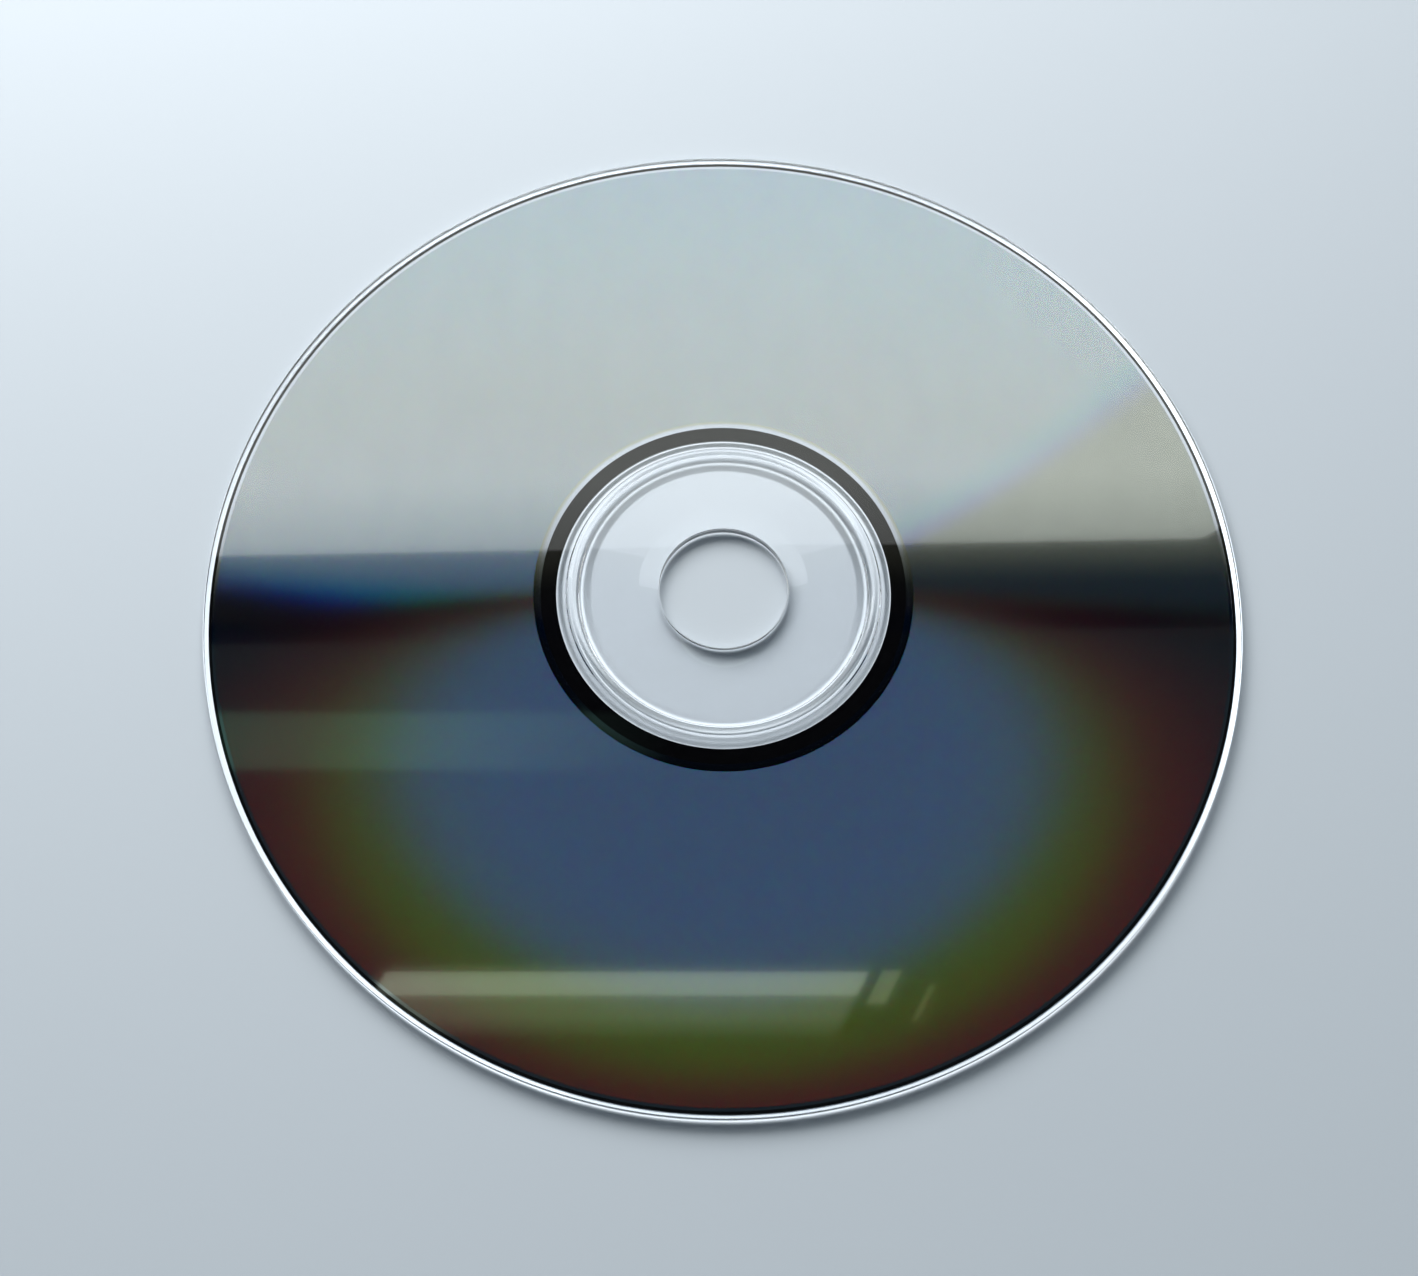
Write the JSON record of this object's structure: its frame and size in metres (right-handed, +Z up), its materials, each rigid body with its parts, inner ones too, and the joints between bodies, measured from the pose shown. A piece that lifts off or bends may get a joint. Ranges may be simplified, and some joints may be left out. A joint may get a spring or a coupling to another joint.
{
  "type": "compact disc",
  "caption": "Optical disc of clear plastic with a round centre hole, a clear hub with a stacking ring, a mirrored data area on top and a plain black coat beneath.",
  "frame": {"origin": "on the axis of the centre hole, on the surface that the disc lies on, at the underside of the label coat", "axes": "+Z up out of the read side, along the axis of the centre hole; X and Y in the plane of the disc, with no preferred direction because the disc is round"},
  "size_m": [0.12, 0.12, 0.0014],
  "materials": {
    "clear_polycarbonate": "clear gloss",
    "aluminium_film": "mirror with fine circular grooves",
    "black_coat": "satin print"
  },
  "bodies": {
    "root": {"substrate": "clear_polycarbonate", "reflective_film": "aluminium_film", "label_coat": "black_coat"}
  },
  "joints": []
}
